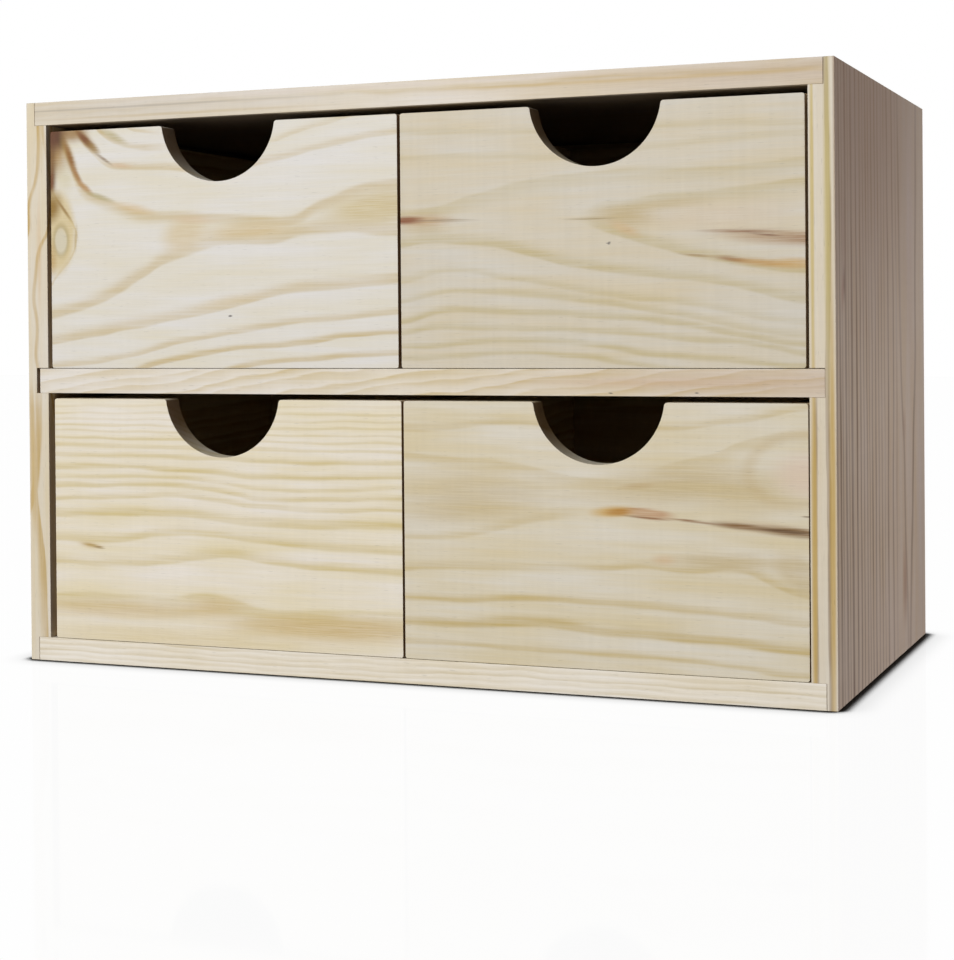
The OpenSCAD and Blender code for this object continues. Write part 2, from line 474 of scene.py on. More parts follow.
@dataclass(frozen=True)
class Pine:
    """Planed, unfinished pine: pale early wood, tan late-wood lines, a dry satin surface.

    The eye sees cream boards with soft tan rings that are sharp on one side, fine fibres along the
    grain, short dark resin canals, faint marks of the planer and darker end grain.

    Attributes:
        early, warm: The two colours between which the early wood varies.
        late: The rings' colour.
        ring_share: How strong the rings are.
        roughness: From what to what the fibres change it.
        ring_clouds, ring_streaks: From what to what share the noises change a ring's tone.
        warm_clouds, warm_streaks: How far the noises mix the warm colour in.
        pull: How far the fibres pull at the edge of a cloud, a streak or painted shade, along and across.
        torn: The values of the fibre noise between which a cloud, a streak or painted shade breaks up.
        fibre_shade: From what to what share the fibres change the colour.
        canal_share: The values of its noise between which a resin canal begins.
        canal_shade: The share of the colour that is left in it.
        chatter: How far the planer's marks change the colour.
        chatter_drift: How fast they change across the board.
        end_shade: The colour that end grain is multiplied by.
        cut_share: How squarely a face has to cut the grain to begin and to be end grain.
        relief, bump: How high the surface's bumps are, and how strongly they show.
        ring_relief, chatter_relief: How much the rings and the planer's marks add to them.
    """

    early: str
    warm: str
    late: str
    ring_share: float = 1.0
    chatter: float = 0.01
    end_shade: str = "#b09a84"
    roughness: tuple[float, float] = (0.48, 0.62)
    specular: float = 0.35
    ring_clouds: tuple[float, float] = (0.6, 1.1)
    ring_streaks: tuple[float, float] = (0.6, 1.3)
    warm_clouds: tuple[float, float] = (-0.4, 0.6)
    warm_streaks: float = 0.8
    cloud_length: float = 60.0
    cloud_width: float = 9.0
    streak_length: float = 42.0
    streak_width: float = 1.1
    # A fibre is about 0.03 mm wide. It is drawn ten times coarser, so that it shows.
    fibre_length: float = 16.0
    fibre_width: float = 0.34
    fibre_shade: tuple[float, float] = (0.96, 1.035)
    pull: tuple[float, float] = (3.0, 0.5)
    torn: tuple[float, float] = (0.42, 0.62)
    canal_length: float = 3.4
    canal_width: float = 0.3
    canal_share: tuple[float, float] = (0.74, 0.84)
    canal_shade: float = 0.86
    chatter_pitch: float = 2.2
    chatter_drift: float = 0.03
    cut_share: tuple[float, float] = (0.15, 0.8)
    relief: float = 0.1
    bump: float = 0.5
    ring_relief: float = 0.5
    chatter_relief: float = 20.0

    def dress(self, name: str, lay: Lay, corner: Vector, figure: Trunk | Face, seed: int) -> Material:
        """Makes the material of one board.

        Args:
            name: The board's name.
            lay: How the board lies.
            corner: The board's lowest corner, in metres.
            figure: The board's ring pattern.
            seed: A whole number that gives the board its own noise.

        Returns:
            The material.
        """
        material, tree = new_material("pine_" + name)
        here, _, board = on_board(tree, lay, corner)
        own = add(tree, "VectorMath ADD", (board, SEED_STEP * seed))
        grounds = Grounds(tree, board, own,
                          fibre=grain_noise(tree, own, self.fibre_length, self.fibre_width, detail=3.0),
                          streak=grain_noise(tree, own, self.streak_length, self.streak_width, detail=2.0),
                          cloud=grain_noise(tree, own, self.cloud_length, self.cloud_width, detail=2.0))

        tone = figure.late_wood(grounds)
        varied = add(tree, "MapRange", (grounds.cloud, *SLOW_SPAN, *self.ring_clouds))
        streaked = add(tree, "MapRange", (grounds.streak, *FINE_SPAN, *self.ring_streaks))
        for change in (varied, streaked):
            tone = add(tree, "Math MULTIPLY", (tone, change))
        tone = add(tree, "Math MULTIPLY", (tone, self.ring_share), use_clamp=True)
        patches = add(tree, "MapRange", (grounds.cloud, *SLOW_SPAN, *self.warm_clouds))
        patches = add(tree, "Math MULTIPLY_ADD", (grounds.streak, self.warm_streaks, patches),
                      use_clamp=True)
        ground = add(tree, "Mix", {FACTOR: patches, COLOUR_A: linear(self.early),
                                   COLOUR_B: linear(self.warm)}, data_type="RGBA")
        wood = add(tree, "Mix", {FACTOR: tone, COLOUR_A: ground.outputs[MIXED],
                                 COLOUR_B: linear(self.late)}, data_type="RGBA")
        stained_and_shaded = self._lay_stains_and_shades(grounds, wood.outputs[MIXED], figure.stains_and_shades)
        worked, height = self._worked(grounds, stained_and_shaded, tone)
        colour = self._end_grain(tree, worked, here.outputs["Normal"], lay)

        bump = add(tree, "Bump", {"Strength": self.bump, "Distance": self.relief * MM, "Height": height})
        rough = add(tree, "MapRange", (grounds.fibre, *UNIT, *self.roughness))
        surface = add(tree, "BsdfPrincipled", {"Base Color": colour, "Roughness": rough, "Normal": bump,
                                               "Specular IOR Level": self.specular})
        add(tree, "OutputMaterial", {"Surface": surface})
        return material

    def _lay_stains_and_shades(self, grounds: Grounds, colour: NodeSocket, stains_and_shades: tuple[StainOrShade, ...]) -> NodeSocket:
        """Lays the board's clouds and streaks, and any painted shade or light, over its colour, with ends
        that fray along the fibres.

        Args:
            grounds: The pattern's starting nodes.
            colour: The wood's colour so far.
            stains_and_shades: The clouds and streaks, and any painted shade or light.

        Returns:
            The colour with them laid over it.
        """
        if not stains_and_shades:
            return colour
        tree = grounds.tree
        centred = add(tree, "Math SUBTRACT", (grounds.fibre, 0.5))
        breaks = add(tree, "MapRange", (grounds.fibre, *self.torn))
        for stain_or_shade in stains_and_shades:
            pull = (self.pull[0] * stain_or_shade.fray, self.pull[1] * stain_or_shade.fray, 0.0)
            pulled = add(tree, "VectorMath SCALE", {0: pull, "Scale": centred})
            frayed = add(tree, "VectorMath ADD", (pulled, grounds.board))
            local = add(tree, "Mapping", {"Vector": frayed,
                                          "Location": (stain_or_shade.along, stain_or_shade.across, stain_or_shade.through),
                                          "Rotation": (0.0, 0.0, math.radians(stain_or_shade.turn)),
                                          "Scale": (stain_or_shade.length, stain_or_shade.width, stain_or_shade.depth)},
                        vector_type="TEXTURE")
            far = add(tree, "VectorMath LENGTH", (local,)).outputs["Value"]
            cover = add(tree, "MapRange", (far, 1.0, 1.0 - stain_or_shade.edge, 0.0, stain_or_shade.strength),
                        interpolation_type="SMOOTHSTEP")
            if stain_or_shade.hollow:
                inside = add(tree, "MapRange", (far, stain_or_shade.hollow, 1.0 - stain_or_shade.edge),
                             interpolation_type="SMOOTHSTEP")
                cover = add(tree, "Math MULTIPLY", (cover, inside))
            whole = add(tree, "Math MULTIPLY_ADD", (breaks, -stain_or_shade.broken, 1.0))
            cover = add(tree, "Math MULTIPLY", (cover, whole))
            mixed = add(tree, "Mix", {FACTOR: cover, COLOUR_A: colour, COLOUR_B: linear(stain_or_shade.colour)},
                        data_type="RGBA")
            colour = mixed.outputs[MIXED]
        return colour

    def _worked(self, grounds: Grounds, colour: NodeSocket, tone: Node) -> tuple[NodeSocket, Node]:
        """Adds the fibres, the resin canals and the planer's faint chatter.

        Args:
            grounds: The pattern's starting nodes.
            colour: The wood's colour so far.
            tone: The share of late wood.

        Returns:
            The colour, and the node that gives the surface's height.
        """
        tree = grounds.tree
        fibres = add(tree, "MapRange", (grounds.fibre, *FINE_SPAN, *self.fibre_shade))
        canal = grain_noise(tree, grounds.own, self.canal_length, self.canal_width, detail=0.0)
        canals = add(tree, "MapRange", (canal, *self.canal_share, 1.0, self.canal_shade))
        pitch = (1 / self.chatter_pitch, self.chatter_drift, self.chatter_drift)
        marks = add(tree, "VectorMath MULTIPLY", (grounds.own, pitch))
        chatter = add(tree, "TexNoise", {"Vector": marks, "Scale": 1.0, "Detail": 1.0})
        chatters = add(tree, "MapRange", (chatter, *SLOW_SPAN, 1.0 - self.chatter, 1.0 + self.chatter))
        shade = fibres
        for change in (canals, chatters):
            shade = add(tree, "Math MULTIPLY", (shade, change))
        shaded = add(tree, "VectorMath SCALE", {0: colour, "Scale": shade})
        relief = add(tree, "Math MULTIPLY_ADD", (tone, self.ring_relief, fibres))
        height = add(tree, "Math MULTIPLY_ADD", (chatter, self.chatter_relief * self.chatter, relief))
        return shaded.outputs[0], height

    def _end_grain(self, tree: NodeTree, colour: NodeSocket, normal: NodeSocket, lay: Lay) -> NodeSocket:
        """Darkens the faces that are cut across the grain, which soak up more light.

        Args:
            tree: The node tree.
            colour: The wood's colour so far.
            normal: The surface's direction, in the board's own space.
            lay: How the board lies.

        Returns:
            The colour.
        """
        along = tuple(float(axis == lay.value[0]) for axis in "XYZ")
        facing = add(tree, "VectorMath DOT_PRODUCT", (normal, along))
        square = add(tree, "Math POWER", (facing.outputs["Value"], 2.0))
        cut = add(tree, "MapRange", (square, *self.cut_share))
        dark = add(tree, "Mix", {FACTOR: cut, COLOUR_A: WHITE, COLOUR_B: linear(self.end_shade)},
                   data_type="RGBA")
        return add(tree, "VectorMath MULTIPLY", (colour, dark.outputs[MIXED])).outputs[0]


@dataclass(frozen=True)
class Plywood:
    """Thin sanded plywood: a plain veneer face with faint grain, and three plies on its edges.

    Attributes:
        face, figure: The two colours of the veneer.
        core: The middle ply's colour.
        core_share: Its share of the thickness.
        drift: How fast the grain changes through the thickness.
        fibre_shade: From what to what share the fibres change the colour.
        relief, bump: How high the surface's bumps are, and how strongly they show.
    """

    face: str = "#d9c39a"
    figure: str = "#c4a676"
    core: str = "#a5814f"
    core_share: float = 0.4
    roughness: float = 0.6
    grain_length: float = 60.0
    grain_width: float = 3.0
    fibre_length: float = 9.0
    fibre_width: float = 0.35
    fibre_shade: tuple[float, float] = (0.92, 1.06)
    drift: float = 0.1
    relief: float = 0.08
    bump: float = 0.4

    def dress(self, name: str, lay: Lay, corner: Vector, thickness: float) -> Material:
        """Makes the material of one plywood sheet.

        Args:
            name: The sheet's name.
            lay: How the sheet lies.
            corner: The sheet's lowest corner, in metres.
            thickness: The sheet's thickness, in metres.

        Returns:
            The material.
        """
        material, tree = new_material("plywood_" + name)
        _, parts, sheet = on_board(tree, lay, corner)
        coarse = (1 / self.grain_length, 1 / self.grain_width, self.drift)
        broad = add(tree, "VectorMath MULTIPLY", (sheet, coarse))
        grain = add(tree, "TexNoise", {"Vector": broad, "Scale": 1.0, "Detail": 3.0, "Distortion": 0.4})
        fine = (1 / self.fibre_length, 1 / self.fibre_width, self.drift)
        narrow = add(tree, "VectorMath MULTIPLY", (sheet, fine))
        fibre = add(tree, "TexNoise", {"Vector": narrow, "Scale": 1.0, "Detail": 2.0})
        veneer = add(tree, "Mix", {FACTOR: grain, COLOUR_A: linear(self.face),
                                   COLOUR_B: linear(self.figure)}, data_type="RGBA")
        depth = add(tree, "Math DIVIDE", (parts.outputs[lay.value[2]], thickness / MM))
        middle = add(tree, "Math COMPARE", (depth, 0.5, self.core_share / 2))
        plies = add(tree, "Mix", {FACTOR: middle, COLOUR_A: veneer.outputs[MIXED],
                                  COLOUR_B: linear(self.core)}, data_type="RGBA")
        shade = add(tree, "MapRange", (fibre, *FINE_SPAN, *self.fibre_shade))
        colour = add(tree, "VectorMath SCALE", {0: plies.outputs[MIXED], "Scale": shade})
        bump = add(tree, "Bump", {"Strength": self.bump, "Distance": self.relief * MM, "Height": fibre})
        surface = add(tree, "BsdfPrincipled", {"Base Color": colour, "Roughness": self.roughness,
                                               "Normal": bump})
        add(tree, "OutputMaterial", {"Surface": surface})
        return material


@dataclass(frozen=True)
class BradSteel:
    """Bright drawn steel wire: small grey heads with a soft shine and fine marks of the header.

    Attributes:
        colour, dull: The two colours that the marks mix.
        roughness: From the marks' smoothest spots to their dullest.
        mark_size: The marks' size, in millimetres.
    """

    colour: str = "#a8a7a3"
    dull: str = "#77746d"
    roughness: tuple[float, float] = (0.26, 0.46)
    # The header's marks are finer than the render shows, so they are drawn 0.4 mm apart.
    mark_size: float = 0.4

    def dress(self) -> Material:
        """Makes the material that all brads share.

        Returns:
            The material.
        """
        material, tree = new_material("brad_steel")
        here = add(tree, "TexCoord")
        marks = add(tree, "TexNoise", {"Vector": here.outputs["Object"], "Scale": 1 / (self.mark_size * MM),
                                       "Detail": 2.0})
        colour = add(tree, "Mix", {FACTOR: marks, COLOUR_A: linear(self.colour),
                                   COLOUR_B: linear(self.dull)}, data_type="RGBA")
        rough = add(tree, "MapRange", (marks, *UNIT, *self.roughness))
        surface = add(tree, "BsdfPrincipled", {"Base Color": colour.outputs[MIXED], "Metallic": 1.0,
                                               "Roughness": rough})
        add(tree, "OutputMaterial", {"Surface": surface})
        return material


# --------------------------------------------------------------------------------------- boards


TINY = 0.01 * MM
# Faces that meet at less than LEVEL become one, edges sharper than SHARP are broken, and those of
# their rounding that turn by less than SMOOTH look smooth.
LEVEL, SHARP, SMOOTH = math.radians(0.5), math.radians(40), math.radians(12)


@dataclass
class Board:
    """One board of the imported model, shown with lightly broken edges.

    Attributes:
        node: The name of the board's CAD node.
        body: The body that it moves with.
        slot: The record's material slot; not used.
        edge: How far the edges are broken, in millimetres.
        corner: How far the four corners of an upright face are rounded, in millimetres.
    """

    node: str
    body: str
    slot: str
    edge: float = 0.15
    corner: float = 0.0
    piece: bpy.types.Object = field(init=False)

    def build(self) -> None:
        """Copies the CAD board, breaks its outer edges and puts it in the board's place."""
        shape = bmesh.new()
        shape.from_mesh(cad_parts[self.node].data)
        bmesh.ops.remove_doubles(shape, verts=shape.verts, dist=TINY)
        bmesh.ops.dissolve_limit(shape, angle_limit=LEVEL, verts=shape.verts, edges=shape.edges)
        if self.corner:
            self._ease(shape, self._corner_edges(shape), self.corner)
        self._ease(shape, [edge for edge in shape.edges
                           if edge.is_manifold and edge.calc_face_angle_signed() > SHARP], self.edge)
        mesh = bpy.data.meshes.new(self.node + "_eased")
        shape.to_mesh(mesh)
        shape.free()
        mesh.shade_smooth()
        mesh.set_sharp_from_angle(angle=SMOOTH)
        self.piece = bpy.data.objects.new(self.node + "_eased", mesh)
        bpy.context.scene.collection.objects.link(self.piece)
        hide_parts(self.node)
        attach(self.piece, self.body)

    def _ease(self, shape: bmesh.types.BMesh, edges: list[bmesh.types.BMEdge], amount: float) -> None:
        """Rounds edges.

        Args:
            shape: The board's shape.
            edges: The edges.
            amount: How far they are rounded, in millimetres.
        """
        bmesh.ops.bevel(shape, geom=edges, offset=amount * MM, offset_type="OFFSET", segments=3,
                        profile=0.5, affect="EDGES", clamp_overlap=True, material=-1)

    def _corner_edges(self, shape: bmesh.types.BMesh) -> list[bmesh.types.BMEdge]:
        """Lists the edges that run from front to rear at the four corners of an upright board.

        Args:
            shape: The board's shape.

        Returns:
            The edges.
        """
        low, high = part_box(self.node)
        corners = {vert for vert in shape.verts
                   if min(abs(vert.co.x - low.x), abs(vert.co.x - high.x)) < TINY
                   and min(abs(vert.co.z - low.z), abs(vert.co.z - high.z)) < TINY}
        return [edge for edge in shape.edges if corners.issuperset(edge.verts)
                and edge.calc_length() - abs(edge.verts[0].co.y - edge.verts[1].co.y) < TINY]

    def low(self) -> Vector:
        """Gives the board's lowest corner, in metres."""
        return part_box(self.node)[0]

    def wear(self, material: Material) -> None:
        """Puts a material on the board.

        Args:
            material: The material.
        """
        self.piece.data.materials.clear()
        self.piece.data.materials.append(material)
        log.info("%s rides on %s as %s", self.piece.name, self.body, material.name)


def dress_brads(node: str, steel: Material) -> None:
    """Gives a node of brads its steel.

    Args:
        node: The CAD node's name.
        steel: The material.
    """
    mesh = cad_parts[node].data
    mesh.materials.clear()
    mesh.materials.append(steel)
    log.info("%s keeps its CAD shape", node)


# -------------------------------------------------------------------------------------- figures

YELLOW_TAN = "#c8ab6c"
CLOUD_TAN = "#d1bd93"
DEEP_TAN = "#bca674"
PEACH = "#d2b795"
AMBER = "#ad7826"
RESIN_BROWN = "#83562c"
RESIN_DARK = "#50320e"
SPECK = "#4a4648"

# Stains with a fairly smooth edge, and marks that reach no deeper than a side's outer face, among them
# painted shade and light
NEAT = {"fray": 0.2, "broken": 0.1}
OUTER_FACE = {"through": 9.0, "depth": 1.6}

UPPER_LEFT_RINGS = (
    Ring(((0, 94), (2.5, 88.5), (5, 83.5), (7.3, 79.3), (8.8, 75), (10, 71), (11.8, 67.6), (14.3, 64.8),
          (17.5, 62.8), (21, 61), (26, 59.3), (31, 58), (38, 56), (48, 55), (62, 54.8), (85, 53), (100, 53),
          (110, 57.5), (125, 62), (139, 63.5)), 0.5, 4.0, 2.4, 0.4),
    Ring(((8, 94), (11.6, 87), (12.9, 84.4), (14.8, 82), (17.4, 79.7), (19.4, 77.6), (22.3, 75.3),
          (25.8, 73.6), (30, 73), (34, 72.7), (50, 71.5), (70, 70), (90, 72.5), (100, 74.5), (110, 77),
          (120, 78.7), (139, 80.5)), 0.48, 1.0, 3.6, 0.5),
    Ring(((14, 94), (21, 87), (24.5, 84), (28.4, 82), (32, 80.8), (36, 80), (50, 79)),
         0.6, 1.4, 3.0, 0.6, (10, 46)),
    Ring(((26, 95), (34, 87), (40, 85.5), (47, 84.3), (52, 84)), 0.35, 0.8, 1.6, 0.3, (28, 46)),
    Ring(((90, 79), (100, 82.5), (112, 85.5), (139, 90)), 0.3, 0.8, 3.0, 0.3, (90, 200)),
    # The two flanks of the knot's eye at the left end
    Ring(((0, 68), (1.4, 64), (4, 60), (7, 56.6), (9.6, 53), (11, 50), (12, 47)),
         0.7, 2.0, 0.8, 0.4, (-20, 11), 1.2),
    Ring(((0, 31), (1.4, 32.7), (3.2, 34.8), (5.2, 37), (7.8, 39.7), (10, 43.5), (11, 47), (12, 50)),
         0.45, 0.8, 2.0, 0.4, (-20, 11), 1.2),
    Ring(((0, 19), (9, 21), (20, 24.5), (30, 29), (40, 34), (46, 37.8), (54, 40.5), (62, 42.8), (72, 44.6),
          (85, 44.6), (93, 45.2), (103, 47.8), (120, 48), (139, 46.5)), 0.5, 1.6, 6.5, 1.2),
    Ring(((0, 9.5), (14, 11.5), (29, 14), (40, 15.8), (50, 18), (60, 19.5), (70, 21.2), (80, 23.5),
          (90, 25.8), (100, 27.3), (119, 28), (139, 29.5)), 0.55, 1.0, 5.4, 0.8),
    Ring(((0, 0.5), (29, 4), (49, 8.8), (69, 11.7), (89, 15), (100, 16.2), (120, 17.2), (139, 18.7)),
         0.5, 0.9, 3.4, 0.4),
    Ring(((20, -8), (37, 0), (50, 3), (60, 4.5), (70, 5.8), (90, 7.8), (110, 9.8), (120, 11), (139, 12.3)),
         0.62, 0.8, 2.4, 0.7),
    Ring(((55, -8), (75, -1), (90, 1.6), (110, 3.4), (139, 4.7)), 0.6, 0.8, 2.4, 0.7),
)
UPPER_LEFT_STAINS = (
    # The dark corner, and the brown bands that curve away from it
    StainOrShade(4.5, 73, 12, 5.5, -72, "#cfc6a6", 0.7, 0.7, fray=0.3),
    StainOrShade(9, 86.5, 10, 5.6, 0, "#96723a", 0.92, 0.8, fray=0.3, broken=0.1),
    StainOrShade(1, 82, 8, 14, 8, "#a27c3c", 0.9, 0.7, **NEAT),
    StainOrShade(0, 74, 3.6, 19, 0, "#74501c", 0.95, 0.8, **NEAT),
    StainOrShade(0, 67.5, 2.4, 8, -6, "#6c3c0e", 0.95, 0.8, **NEAT),
    StainOrShade(1, 86.5, 7.4, 10, 14, "#5a300a", 1.0, 0.7, fray=0.3, broken=0.0),
    StainOrShade(4.8, 83.2, 5.5, 2.6, -62, "#4c2c0e", 0.9, fray=0.3),
    StainOrShade(8.0, 77.6, 11, 3.2, -69, "#b0904a", 0.8, **NEAT),
    StainOrShade(8.4, 77.2, 10, 2.0, -69, "#845512", 0.95, **NEAT),
    StainOrShade(11.4, 70.2, 7, 1.7, -60, "#9a6a22", 0.9, **NEAT),
    StainOrShade(14.8, 65.9, 6, 1.8, -40, "#aa7c34", 0.85, **NEAT),
    StainOrShade(21, 62.4, 9, 1.6, -17, "#a89a62", 0.8, fray=0.3),
    StainOrShade(35, 57.8, 13, 2.6, -12, "#d0b27c", 0.6),
    StainOrShade(15.4, 83.2, 9, 3.0, -43, "#a07c42", 0.8, **NEAT),
    StainOrShade(15, 83.4, 7.5, 2.0, -43, "#703e0c", 1.0, 0.8, **NEAT),
    StainOrShade(18.4, 80.4, 5, 2.0, -40, "#96783a", 0.8, fray=0.2),
    StainOrShade(22.8, 76.1, 6, 0.9, -33, "#82694a", 0.8, fray=0.2),
    StainOrShade(30, 73.4, 7, 1.4, -6, "#cca47a", 0.5),
    StainOrShade(27, 84.2, 9, 2.2, -28, "#aea06c", 0.75, fray=0.3),
    # The knot's eye
    StainOrShade(2.2, 50, 9.6, 18, 0, "#d0bc88", 0.85, 0.35, fray=0.0, broken=0.1),
    StainOrShade(0.2, 58.8, 5.8, 8.6, -24, "#8e6d28", 1.0, 0.85, fray=0.1, broken=0.1),
    StainOrShade(5.6, 58.2, 8, 1.0, -52, "#8f6f38", 0.85, fray=0.1, broken=0.1),
    StainOrShade(10.6, 47.5, 1.0, 7, -4, "#b39a62", 0.7, fray=0.1, broken=0.1),
    StainOrShade(4.2, 47, 4.4, 7.8, 0, "#b09f70", 0.8, 0.4, hollow=0.5, fray=0.0, broken=0.1),
    StainOrShade(4.2, 46.6, 3.4, 6.2, 0, "#cfc8b2", 0.9, 0.5, fray=0.0, broken=0.1),
    StainOrShade(0.3, 40, 3.0, 9, 0, "#b8965a", 0.7, fray=0.2),
    StainOrShade(56, 48, 13, 8.5, 18, CLOUD_TAN, 0.8, 0.75),
    StainOrShade(60, 53, 14, 2.2, -4, PEACH, 0.5),
    StainOrShade(82, 48.5, 27, 4.6, 2, CLOUD_TAN, 0.75, 0.8),
    StainOrShade(84, 48, 18, 2.2, 2, YELLOW_TAN, 0.3),
    StainOrShade(134, 55.5, 30, 8.6, 6, "#c9b57f", 0.8, 0.7),
    StainOrShade(75, 24, 20, 3.4, 9, CLOUD_TAN, 0.45),
    StainOrShade(74.5, 18.5, 1.1, 0.45, 0, SPECK, 0.8, 0.6, broken=0.0),
)
UPPER_LEFT = Face(UPPER_LEFT_RINGS, UPPER_LEFT_STAINS)

UPPER_RIGHT_RINGS = (
    Ring(((0, 80.5), (47, 79), (94, 79), (139, 77)), 0.25, 1.2, 3.0),
    Ring(((0, 72), (30, 71), (60, 70), (100, 73), (139, 74)), 0.22, 1.2, 3.0),
    Ring(((0, 53), (15, 55), (25, 58), (40, 61), (60, 63.5), (80, 64.5), (110, 64.5), (139, 66)),
         0.35, 6.0, 1.6),
    Ring(((0, 42), (10, 43.5), (20, 43), (40, 40), (50, 37.5), (60, 35), (70, 33), (80, 31.2), (105, 28.6),
          (120, 26), (139, 21.5)), 0.5, 1.2, 5.6, 0.6),
    Ring(((60, 49), (66, 51), (72, 53.2), (82, 54), (95, 56), (110, 56.6), (125, 58), (139, 59.5)),
         0.35, 5.0, 1.6, 0.6, (70, 200)),
    Ring(((60, 49), (68, 47.5), (75, 45), (80, 43.2), (88, 40.8), (95, 38.8), (102, 37), (110, 35.3),
          (118, 34), (128, 32.4), (139, 31)), 0.5, 1.2, 5.6, 0.6, (70, 200)),
    Ring(((0, 30), (20, 33), (40, 30), (70, 25), (100, 21), (139, 15)), 0.3, 1.2, 3.6),
    Ring(((0, 23), (18, 26), (40, 25), (70, 22.5), (100, 17), (139, 11)), 0.38, 1.2, 3.2),
    Ring(((0, 16), (15, 19), (35, 18.8), (60, 18.5), (80, 17), (110, 12.5), (139, 8)), 0.5, 1.3, 3.2),
    Ring(((0, 12), (12, 14), (30, 14), (60, 13), (80, 12), (100, 10), (130, 7), (139, 5)), 0.45, 1.2, 2.8),
    Ring(((0, 7.5), (20, 8.8), (40, 9.5), (60, 8.8), (90, 5), (120, 2.5), (139, 1)), 0.5, 1.2, 2.8),
    Ring(((0, 3.5), (20, 4.5), (40, 5.5), (60, 4.5), (90, 1), (120, -2), (139, -3)), 0.45, 1.2, 2.4),
)
UPPER_RIGHT_STAINS = (
    StainOrShade(112, 49, 40, 7.5, 0, "#d3bd9b", 0.5),
    StainOrShade(8, 47.5, 14, 3.4, 0, DEEP_TAN, 0.5),
    StainOrShade(80, 49.5, 16, 5.2, -4, DEEP_TAN, 0.75),
    StainOrShade(90, 53, 24, 3.0, 3, DEEP_TAN, 0.45),
    StainOrShade(80, 45.5, 8, 2.6, -22, "#cfa873", 0.5),
    StainOrShade(8, 50.2, 16, 3.0, 0, "#b99058", 0.7),
    StainOrShade(2, 50.4, 9.5, 1.9, 0, "#7e4010", 0.95, 0.8, broken=0.12),
    StainOrShade(16, 50.0, 16, 0.8, -1, "#96846a", 0.7, 0.8, broken=0.6),
    StainOrShade(68, 49.2, 12, 0.6, 0, "#8f7a4e", 0.75, broken=0.5),
    StainOrShade(134, 41.4, 30, 3.6, -4, "#a98863", 0.85, 0.8, broken=0.4),
    StainOrShade(118, 43.8, 18, 0.9, -2, "#906a4a", 0.85, broken=0.5),
    StainOrShade(126, 42.7, 9, 0.8, -9, "#744f36", 0.8, broken=0.6),
    StainOrShade(139, 41.2, 10, 2.4, -3, "#9c7a5a", 0.6, 0.8, broken=0.6),
    StainOrShade(104, 36.4, 8, 0.7, -6, "#93703f", 0.7, broken=0.4),
    StainOrShade(116, 34.9, 9, 1.3, -8, "#8f5d26", 0.9, broken=0.4),
    StainOrShade(126, 33.6, 14, 1.9, -6, "#b98838", 0.85, broken=0.4),
    StainOrShade(136, 33.2, 11, 2.8, -3, "#c59c58", 0.75),
    StainOrShade(74.5, 41, 0.7, 0.6, 0, SPECK, 0.9, 0.6, broken=0.0),
)
UPPER_RIGHT = Face(UPPER_RIGHT_RINGS, UPPER_RIGHT_STAINS)

LOWER_LEFT_RINGS = rings_past(
    (0, 139),
    ((86, 86), 0.3, 0.5, 1.1, 0.2),
    ((83.4, 83.4), 0.36, 0.5, 1.1, 0.2),
    ((81, 81), 0.42, 0.5, 1.1, 0.2),
    ((78.7, 78.5), 0.45, 0.5, 1.2, 0.2),
    ((76.3, 76), 0.42, 0.5, 1.2, 0.2),
    ((73.6, 73.4), 0.48, 0.6, 1.4, 0.2),
    ((70.7, 70.4), 0.5, 0.8, 1.8)) + (
    Ring(((0, 67.2), (70, 67), (90, 66.2), (139, 66.5)), 0.55, 0.9, 2.4),
    Ring(((0, 62.7), (40, 63), (65, 62.4), (80, 61), (95, 61), (139, 62)), 0.62, 1.0, 2.8),
    Ring(((0, 59.2), (60, 59.6), (85, 57), (139, 58)), 0.4, 0.9, 2.0),
    Ring(((0, 56.2), (65, 56.2), (75, 54.7), (85, 53.2), (105, 53.7), (139, 54.2)), 0.6, 1.0, 2.6),
    Ring(((0, 51.2), (35, 52.7), (55, 53.2), (85, 50.7), (110, 49.4), (139, 50.4)), 0.6, 1.0, 2.8),
    Ring(((0, 45.2), (35, 46.7), (55, 46.7), (75, 45.2), (139, 44.2)), 0.62, 1.2, 4.2, 0.8),
    Ring(((0, 36.7), (25, 36.7), (45, 39.2), (65, 40), (85, 38.7), (120, 36.7), (139, 36.2)),
         0.55, 1.2, 4.6, 0.6),
    Ring(((0, 28.2), (35, 28.7), (50, 30.2), (65, 32.2), (75, 32.7), (85, 31.2), (115, 29.7), (139, 28.7)),
         0.6, 1.2, 5.0, 0.6),
    Ring(((0, 15.5), (30, 15.8), (50, 16.5), (62, 18), (74, 16.5), (84, 13.8), (100, 13.6), (139, 14)),
         0.5, 9.0, 2.6, 0.5),
)
LOWER_LEFT_STAINS = (
    StainOrShade(112, 8.5, 62, 7, 0, YELLOW_TAN, 0.75, 0.85),
    StainOrShade(26, 11.5, 52, 5, 0, YELLOW_TAN, 0.5, 0.85),
    StainOrShade(66, 14, 20, 5.5, 4, YELLOW_TAN, 0.55),
    StainOrShade(55, 2, 100, 6, 0, "#d6c290", 0.5),
    StainOrShade(15, 34.6, 7, 1.9, -6, "#c4a76a", 0.65),
    StainOrShade(15, 34.6, 5, 0.9, -6, "#ad8f4e", 0.85),
    StainOrShade(18.5, 33.8, 3.6, 0.6, -6, "#8d7140", 0.8, broken=0.2),
)
LOWER_LEFT = Face(LOWER_LEFT_RINGS, LOWER_LEFT_STAINS)

